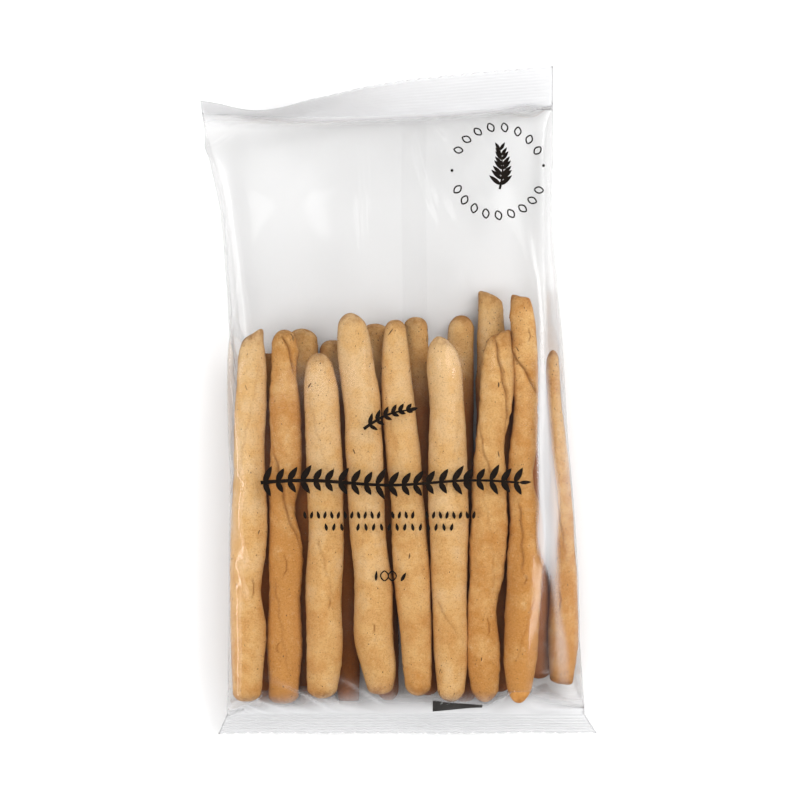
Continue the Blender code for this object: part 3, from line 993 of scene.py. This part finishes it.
bottom_strip = weld_strip(net[0], BOTTOM_EDGE_LEFT, BOTTOM_EDGE_RIGHT, BOTTOM_WELD_TALL,
                          lift=-BOTTOM_WELD_DROP, outward=-1, rib_depth=RIB_DEPTHS["bottom"], seed=41)
top_strip = weld_strip(net[-1], TOP_WELD_LEFT, TOP_WELD_RIGHT, TOP_WELD_TALL,
                       lift=line_through(TOP_WELD_LIFT, net[-1, :, 0]), outward=1,
                       rib_depth=RIB_DEPTHS["top"], seed=42)
film_points = np.vstack([bottom_strip[::-1], net, top_strip])
film_rows, film_columns = film_points.shape[:2]
print("welds:", len(bottom_strip), "and", len(top_strip), "rows")

# %% [markdown]
# Worked film turns milky. It is whitest in the welds and in the puckers beside them, and beside the bottom
# weld that milkiness is partly painted light, which lifts the shadow there. A milky band down the right
# shoulder is a painted reflection of glare. Film that hangs free between the sticks carries faint painted
# streaks of light. Two masks on the film's points carry this, welded and slack, because they follow
# the shape, and the finish of the film reads them.

# %% Where the film is milky, and where glare and light are painted on it
SHOULDER_GLARE = [  # painted glare down the right shoulder: Y, the left and right X of the band, and how strong it is, next to 1 in a weld
    (25, 40.4, 44.0, 0.0), (5, 40.4, 45.0, 0.75), (-15, 40.4, 46.6, 0.85), (-30, 40.6, 48.4, 0.85),
    (-46, 41.0, 48.0, 0.85), (-54, 44.2, 48.4, 0.5), (-62, 45.4, 48.8, 0.35), (-75, 46.2, 51.0, 0.35),
    (-87, 47.0, 51.5, 0.1),
]
SHOULDER_TOP, SHOULDER_FOOT, SHOULDER_HIGH = 25.0, -88.0, 8.0  # Y of its two ends, and Z that it lies above
PUCKERED_AND_LIT_BOTTOM, PUCKERED_TOP = 1.2, 0.85  # how milky the puckers beside each weld start; at the bottom it is partly painted light, lifting the shadow there
PUCKER_ROWS_BOTTOM, PUCKER_ROWS_TOP = 16, 6  # of the net, over which they fade
FREE_FROM, FREE_OVER = 0.8, 3.5  # film this far from a stick starts to be slack, and over how far it grows


def room_to_sticks(points):
    """Distance in mm, across the bag, from each point to the surface of the nearest stick."""
    at = rows_of_table(points[..., 1])
    room = np.full(at.shape, np.inf)
    for middle, height, thick in table_sticks:
        here = np.hypot(points[..., 0] - middle[at], points[..., 2] - height[at]) - thick[at]
        room = np.where(thick[at] > 0, np.minimum(room, here), room)
    return room


from_bottom = (np.arange(film_rows) - len(bottom_strip))[:, None]
from_top = (film_rows - 1 - len(top_strip) - np.arange(film_rows))[:, None]
# partly painted light: the bottom puckers are made milkier than a weld, which lifts the shadow beside the
# bottom weld
puckers_and_painted_light = PUCKERED_AND_LIT_BOTTOM * ease(1 - from_bottom / PUCKER_ROWS_BOTTOM)
puckers_and_painted_light = puckers_and_painted_light + PUCKERED_TOP * ease(1 - from_top / PUCKER_ROWS_TOP)
welded = np.where((from_bottom < 0) | (from_top < 0), 1.0, puckers_and_painted_light)
welded = np.broadcast_to(welded, (film_rows, film_columns))
slack = ease((room_to_sticks(film_points) - FREE_FROM) / FREE_OVER)
film_x, film_y, film_z = film_points.transpose(2, 0, 1)
# painted reflection: a milky band down the right shoulder stands for mirrored glare there
shoulder_left, shoulder_right, shoulder_glare_strength = through(SHOULDER_GLARE, film_y).transpose(2, 0, 1)
shoulder_glare = ease((film_x - shoulder_left) / 1.5) * ease((shoulder_right - film_x) / 2.0)
shoulder_glare = shoulder_glare * shoulder_glare_strength * (film_y < SHOULDER_TOP) * (film_y > SHOULDER_FOOT)
shoulder_glare = shoulder_glare * (film_z > SHOULDER_HIGH)
welded = np.maximum(welded, shoulder_glare)
print("milky share of the film:", (welded > 0.3).mean().round(3), "and slack", (slack > 0.5).mean().round(3))

# %% The film's mesh
film = mesh_object("clear_film", film_points, grid_faces(film_rows, film_columns, closed=True),
                   {"welded": welded, "slack": slack})
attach(film, "root")
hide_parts("grissini_bag")
print("film:", film_points.shape, "from", film_points.min(axis=(0, 1)).round(1),
      "to", film_points.max(axis=(0, 1)).round(1))

# %% [markdown]
# ## Clear film
# Polypropylene film is seen only by what it mirrors and by a slight milkiness. Transparent lets straight
# through what lies behind, and Glossy mirrors the sky and the lamps, more at a glancing angle, as the Fresnel
# node says. A third shader, a thin pale haze, is mixed in where the film is scuffed, puckered or welded, and
# where it is seen along its surface, which draws the outline of the bag. The same haze paints light in three
# places: a band of glare down the right shoulder, faint streaks where the film hangs slack, and a lift of the
# shadow beside the bottom weld. Waviness from the rollers of the film maker bends the mirrored light without
# any change of shape.

# %% Film finish
FILM_IOR = 1.5
MIRROR_SHARE = 1.5  # a film has two faces, so it mirrors more than one face does
MOST_MIRRORED = 0.4  # however steeply it is seen: scuffed film stays see-through at its edges
# colour of the haze, which also paints glare and light on the film
HAZE_AND_PAINTED_LIGHT = (0.72, 0.72, 0.73, 1.0)


def clear_film(name, tint, mirror_share, scuffed, painted_streaks, welded_haze, edge_haze):
    """Film that mirrors by its angle, over clear see-through, with a little haze where it is worked.

    Each haze is the most that a cause adds: scuffs, painted streaks of light on slack film, what the
    welded mask holds, which is weld milkiness with painted glare and painted light in it, and the
    steep view along the film, which passes through more of it.
    """
    material, tree, output, place = new_material(name)
    long_waves = noise(tree, place, 14.0, detail=2.0, roughness=0.5, distortion=0.6)
    scuffs = noise(tree, place, 3.0, detail=4.0, roughness=0.7)
    crinkle = add_node(tree, "Bump", Strength=0.5, Distance=0.5 * MM)
    relief = maths(tree, "ADD", long_waves, maths(tree, "MULTIPLY", scuffs, 0.02))
    tree.links.new(relief, crinkle.inputs["Height"])
    clear = add_node(tree, "BsdfTransparent", Color=(tint, tint, tint, 1.0))
    mirror = add_node(tree, "BsdfGlossy", Roughness=0.2)
    haze_and_painted_light = add_node(tree, "BsdfDiffuse", Color=HAZE_AND_PAINTED_LIGHT)
    fresnel = add_node(tree, "Fresnel", IOR=FILM_IOR)
    for shader in (mirror, fresnel):
        tree.links.new(crinkle.outputs["Normal"], shader.inputs["Normal"])
    mirrored = maths(tree, "MULTIPLY", fresnel.outputs[0], mirror_share)
    mirrored = maths(tree, "MINIMUM", mirrored, MOST_MIRRORED)
    masks = {}
    for title in ("welded", "slack"):
        attribute = tree.nodes.new("ShaderNodeAttribute")
        attribute.attribute_name = title
        masks[title] = attribute.outputs["Fac"]
    # painted streaks of light: haze drawn out along Y on slack film, standing for light caught in its folds
    drawn = add_node(tree, "Mapping", Scale=(1.0, 0.3, 1.0))
    tree.links.new(place, drawn.inputs["Vector"])
    streaks = noise(tree, drawn.outputs["Vector"], 21.0, detail=2.0, roughness=0.4, distortion=0.6)
    streak_light = maths(tree, "MULTIPLY", masks["slack"], remap(tree, streaks, 0.42, 0.68, 0.25, 1.0))
    steep = add_node(tree, "LayerWeight", Blend=0.5)
    causes = (
        remap(tree, scuffs, 0.35, 0.75, 0.15 * scuffed, scuffed),
        maths(tree, "MULTIPLY", streak_light, painted_streaks),
        maths(tree, "MULTIPLY", masks["welded"], welded_haze),
        remap(tree, steep.outputs["Facing"], 0.45, 1.0, 0.0, edge_haze),
    )
    haze_and_light_share = causes[0]
    for cause in causes[1:]:
        haze_and_light_share = maths(tree, "ADD", haze_and_light_share, cause)
    seen = clear.outputs[0]
    for share, shader in ((mirrored, mirror), (haze_and_light_share, haze_and_painted_light)):
        mix = tree.nodes.new("ShaderNodeMixShader")
        for value, socket in zip((share, seen, shader.outputs[0]), mix.inputs):
            tree.links.new(value, socket)
        seen = mix.outputs[0]
    tree.links.new(seen, output.inputs["Surface"])
    return material


film_look = clear_film("clear_film", 0.96, MIRROR_SHARE, scuffed=0.002, painted_streaks=0.005, welded_haze=0.6,
                       edge_haze=0.3)
film.data.materials.append(film_look)
print("film finish:", len(film_look.node_tree.nodes), "nodes")

# %% [markdown]
# ## The seam down the back
# The tube was made from one flat web, whose two edges are welded face to face down the middle of the back
# and folded over to one side. The fold is a narrow third layer that lies against the film, a shade greyer
# than the rest of the bag. It is laid on the net, a hair outside it.


# %% Laying things on the film
CORRECTIONS = 12
CORRECTED = 0.8  # share of the error that one correction takes up, so that a fold can't throw it too far


def on_film(x, y, lift, back=False):
    """Points a little outside the settled film at given X and Y, found by sliding over the net.

    Start in the middle of the net's row for each Y, read the point there, and correct by how far it is off;
    a dozen corrections are plenty, because the film is nearly flat. The lift is along the film's normal.
    """
    half = film_columns // 2
    rows = len(net) - 1
    sheet = net[:, half:][:, ::-1] if back else net[:, : half + 1]
    sheet = np.concatenate([net[:, :1], sheet], axis=1) if back else sheet
    out = np.cross(np.gradient(sheet, axis=1), np.gradient(sheet, axis=0))
    out /= np.linalg.norm(out, axis=-1, keepdims=True) + 1e-9
    low_x, high_x = np.array([net[:, 0, 0], net[:, half, 0]])
    v = (y - net[0, 0, 1]) / (net[-1, :, 1].mean() - net[0, 0, 1]) * rows
    u = np.full_like(v, 0.5 * half)

    def read(table):
        """A table of the net's points, read evenly between four of them at each row v and column u."""
        r = np.clip(v.astype(int), 0, rows - 1)
        c = np.clip(u.astype(int), 0, sheet.shape[1] - 2)
        s, t = (np.clip(v - r, 0, 1)[..., None], np.clip(u - c, 0, 1)[..., None])
        near = table[r, c] * (1 - t) + table[r, c + 1] * t
        return near * (1 - s) + (table[r + 1, c] * (1 - t) + table[r + 1, c + 1] * t) * s

    for _ in range(CORRECTIONS):
        here = read(sheet)
        across = np.interp(v, np.arange(rows + 1), high_x - low_x) / half
        u = np.clip(u + CORRECTED * (x - here[..., 0]) / across, 0, sheet.shape[1] - 1.001)
        v = np.clip(v + CORRECTED * (y - here[..., 1]) / (FILM_LENGTH / rows), 0, rows - 0.001)
    return read(sheet) + read(out) * (-lift if back else lift)


# %% Back seam
SEAM_LEFT, SEAM_RIGHT = 0.6, 8.0
SEAM_FOOT, SEAM_LONG = -93.0, 177.0
SEAM_LIFT = 0.1
SEAM_COLUMNS, SEAM_ROWS = 9, 160
seam_u, seam_v = np.meshgrid(np.linspace(0, 1, SEAM_COLUMNS), np.linspace(0, 1, SEAM_ROWS))
wander = 0.3 * waves(np.stack([seam_u * 0, seam_v * 180, seam_u], axis=-1), 60, 5)
seam_x = SEAM_LEFT + (SEAM_RIGHT - SEAM_LEFT) * seam_u + wander
seam_points = on_film(seam_x, SEAM_FOOT + SEAM_LONG * seam_v, SEAM_LIFT, back=True)
seam = mesh_object("back_seam", seam_points, grid_faces(SEAM_ROWS, SEAM_COLUMNS, closed=False)[:, ::-1],
                   {"welded": np.full(seam_u.shape, 0.5)})
seam.data.materials.append(clear_film("seam_film", 0.995, 0.0, scuffed=0.01, painted_streaks=0.0, welded_haze=0.01,
                                      edge_haze=0.0))
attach(seam, "root")
print("back seam from", seam_points.min(axis=(0, 1)).round(2), "to", seam_points.max(axis=(0, 1)).round(2))

# %% [markdown]
# ## Print
# The bag is printed in one near-black ink. What stands here is plain ornament: a ring of little leaves round
# a sprig at the top right, a long sprig of rosemary across the sticks with a short one above it, and two rows
# of small strokes and a small mark below. Beside the bottom weld is the black bar that tells the packing
# machine where to cut. Each shape is a ribbon whose width changes along its path, laid on the settled film so
# that it follows every fold.

# %% Ink
INK = rgb(16, 10, 6)
WORN_INK = rgb(36, 24, 15)
ink = two_tone("print_ink", INK, WORN_INK, 1.2, turn=(0.5, 0.75), detail=4.0, roughness=0.7, IOR=1.45,
               Roughness=0.6, Specular_IOR_Level=0.2)
print("ink from", np.round(INK[:3], 4), "to", np.round(WORN_INK[:3], 4))

# %% Ribbons of ink
INK_LIFT = 0.12  # enough that the film never cuts through the print


def ribbon(path, width):
    """Flat points of a ribbon: the path moved to either side by half the width along its normal."""
    slope = np.gradient(path, axis=0)
    normal = np.stack([-slope[:, 1], slope[:, 0]], axis=1)
    normal /= np.linalg.norm(normal, axis=1, keepdims=True) + 1e-9
    offset = normal * (np.asarray(width) / 2)[:, None]
    return np.stack([path - offset, path, path + offset], axis=1)


def leaf(x, y, angle, length, width, steps=9):
    """A needle leaf as a ribbon: a straight path whose width is a half wave, thickest before the middle."""
    t = np.linspace(0, 1, steps)
    way = np.array([np.cos(angle), np.sin(angle)])
    path = np.array([x, y]) + np.outer(t * length, way)
    return ribbon(path, width * np.sin(np.pi * t**0.8) ** 0.8 + 0.04)


def hollow_leaf(x, y, angle, length, width, line, steps=25):
    """The outline of a leaf as a closed ribbon: a cosine along it, and a sine and its cube across it."""
    t = np.linspace(0, 2 * np.pi, steps)
    along, across = -np.cos(t) * length / 2, np.sin(t) ** 3 * 0.25 * width + np.sin(t) * width / 2 * 0.75
    turn = np.array([[np.cos(angle), np.sin(angle)], [-np.sin(angle), np.cos(angle)]])
    return ribbon(np.array([x, y]) + np.stack([along, across], axis=1) @ turn, np.full(steps, line))


def root_at(line, share):
    """The point of a line at a share of its length."""
    return line[int(share * (len(line) - 1))]


def dot(x, y, size, steps=13):
    """A round dot as a ribbon: its width at each step is the chord of the circle."""
    t = np.linspace(-0.998, 0.998, steps)
    return ribbon(np.stack([x + t * size / 2, np.full(steps, y)], axis=1), size * np.sqrt(1 - t**2))


def print_piece(name, ribbons):
    """One joined mesh of ribbons of ink on the film."""
    points, faces, start = [], [], 0
    for flat in ribbons:
        steps, across = flat.shape[:2]
        points.append(on_film(flat[..., 0], flat[..., 1], INK_LIFT).reshape(-1, 3))
        faces.append(grid_faces(steps, across, closed=False)[:, ::-1] + start)
        start += steps * across
    piece = mesh_object(name, np.vstack(points), np.vstack(faces))
    piece.data.materials.append(ink)
    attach(piece, "root")
    print(name, len(ribbons), "ribbons")


# %% Ring of leaves and its sprig
RING_X, RING_Y = 29.3, 68.4
RING_RADIUS = 13.4
RING_LEAF = 2.7
STEM_BELOW, STEM_TALL = 5.6, 12.2  # how far the sprig starts below the ring's middle, and its height
ring = []
for first, last, count in ((152, 28, 8), (205, 335, 9)):
    for angle in np.radians(np.linspace(first, last, count)):
        ring.append(hollow_leaf(RING_X + RING_RADIUS * np.cos(angle), RING_Y + RING_RADIUS * np.sin(angle),
                                angle + np.radians(20), RING_LEAF, 1.5, 0.45))
ring.append(dot(RING_X - RING_RADIUS - 0.4, RING_Y, 0.9))
ring.append(dot(RING_X + RING_RADIUS + 0.2, RING_Y + 1.8, 0.9))
stem_t = np.linspace(0, 1, 30)
stem = np.stack([RING_X + 0.4 + 0.9 * np.sin(3.0 * stem_t), RING_Y - STEM_BELOW + STEM_TALL * stem_t], axis=1)
ring.append(ribbon(stem, 0.75 - 0.45 * stem_t))
for share in np.linspace(0.12, 0.98, 8):
    root = root_at(stem, share)
    size = 4.7 - 1.9 * share
    ring.append(leaf(*root, np.radians(38 + 22 * share), size, 1.35 - 0.4 * share))
    ring.append(leaf(*root, np.radians(142 - 22 * share), size, 1.35 - 0.4 * share))
print_piece("ring_of_leaves", ring)

# %% Short sprig
SHORT_X, SHORT_Y = -10.8, -8.6  # the foot of its stem
SHORT_ACROSS, SHORT_RISE, SHORT_BOW = 13.6, 5.6, 1.3
short_t = np.linspace(0, 1, 60)
short_line = np.stack([SHORT_X + SHORT_ACROSS * short_t,
                       SHORT_Y + SHORT_RISE * short_t + SHORT_BOW * np.sin(np.pi * short_t)], axis=1)
short_sprig = [ribbon(short_line, 0.95 - 0.5 * short_t)]
for share in np.linspace(0.12, 0.94, 6):
    root = root_at(short_line, share)
    size = 3.9 - 1.4 * share
    short_sprig.append(leaf(*root, np.radians(78 - 26 * share), size, 1.25))
    short_sprig.append(leaf(*root, np.radians(-32 + 20 * share), size * 0.8, 1.1))
short_sprig.append(leaf(*short_line[-1], np.radians(14), 2.6, 1.1))
print_piece("short_sprig", short_sprig)

# %% The long sprig
SPRIG_LEFT, SPRIG_RIGHT = -41.5, 35.5
SPRIG_Y = -24.6
SPRIG_PAIRS = 21
sprig_t = np.linspace(0, 1, 160)
sprig_line = np.stack([SPRIG_LEFT + (SPRIG_RIGHT - SPRIG_LEFT) * sprig_t,
                       SPRIG_Y + 0.7 * np.sin(2 * np.pi * 1.5 * sprig_t)], axis=1)
sprig = [ribbon(sprig_line, 1.15 - 0.5 * sprig_t)]
sprig_rng = np.random.default_rng(8)
for number, share in enumerate(np.linspace(0.015, 0.985, SPRIG_PAIRS)):
    root = root_at(sprig_line, share)
    size = (4.6 if number % 3 else 5.6) * sprig_rng.uniform(0.9, 1.1)
    lean = np.radians(58 + sprig_rng.uniform(-6, 6))
    sprig.append(leaf(*root, lean, size, 1.85))
    sprig.append(leaf(*root, -lean, size * 0.86, 1.7))
sprig.append(leaf(*sprig_line[-1], 0.05, 3.6, 1.1))
print_piece("long_sprig", sprig)


# %% Rows of small strokes, weight mark and bottom bar
def stroke_row(left, right, y, words, tall):
    """A row of small upright leaves in groups: one for each place, with a gap between groups."""
    places = np.concatenate([np.arange(count) + sum(words[:k]) + 1.1 * k for k, count in enumerate(words)])
    x = left + (right - left) * places / places.max()
    lean = np.radians(np.where(np.arange(len(x)) % 2, 78, 102))
    foot = x - np.cos(lean) * tall / 2
    return [leaf(at, y - tall / 2, angle, tall, 0.95, steps=6) for at, angle in zip(foot, lean)]


print_piece("stroke_rows", stroke_row(-28.3, 22.0, -34.2, (12, 4, 8), 2.4)
            + stroke_row(-22.0, 15.4, -37.8, (3, 13), 2.4))
WEIGHT_Y = -52.4
weight = [hollow_leaf(x, WEIGHT_Y, np.radians(90), 2.9, 1.9, 0.42) for x in (-4.6, -2.3)]
weight += [leaf(-7.2, WEIGHT_Y - 1.5, np.radians(86), 3.1, 0.8),
           leaf(0.3, WEIGHT_Y - 1.6, np.radians(60), 3.0, 1.0)]
print_piece("weight_mark", weight)
BAR_LEFT, BAR_LONG, BAR_Y = 9.8, 14.8, -91.6
BAR_SWELL, BAR_LEAST = 2.9, 0.8  # how much taller its left end is than its right, and the height there
bar_t = np.linspace(0, 1, 30)
print_piece("bottom_bar", [ribbon(np.stack([BAR_LEFT + BAR_LONG * bar_t, BAR_Y + 0.1 * bar_t], axis=1),
                                  BAR_SWELL * (1 - bar_t) ** 1.3 + BAR_LEAST)])

# %% [markdown]
# ## Table
# A pale matt table catches the soft shadow of the bag. It is much larger than the picture, so that the film
# mirrors table and sky and never an edge.

# %% Floor
FLOOR_HALF = 1500.0
floor = mesh_object("floor", [(-FLOOR_HALF, -FLOOR_HALF, 0), (FLOOR_HALF, -FLOOR_HALF, 0),
                              (FLOOR_HALF, FLOOR_HALF, 0), (-FLOOR_HALF, FLOOR_HALF, 0)],
                    np.array([[0, 1, 2, 3]]))
DULL_TABLE, PALE_TABLE = (0.84, 0.84, 0.84, 1), (0.87, 0.87, 0.87, 1)
floor.data.materials.append(two_tone("pale_table", DULL_TABLE, PALE_TABLE, 60.0, Roughness=0.8))
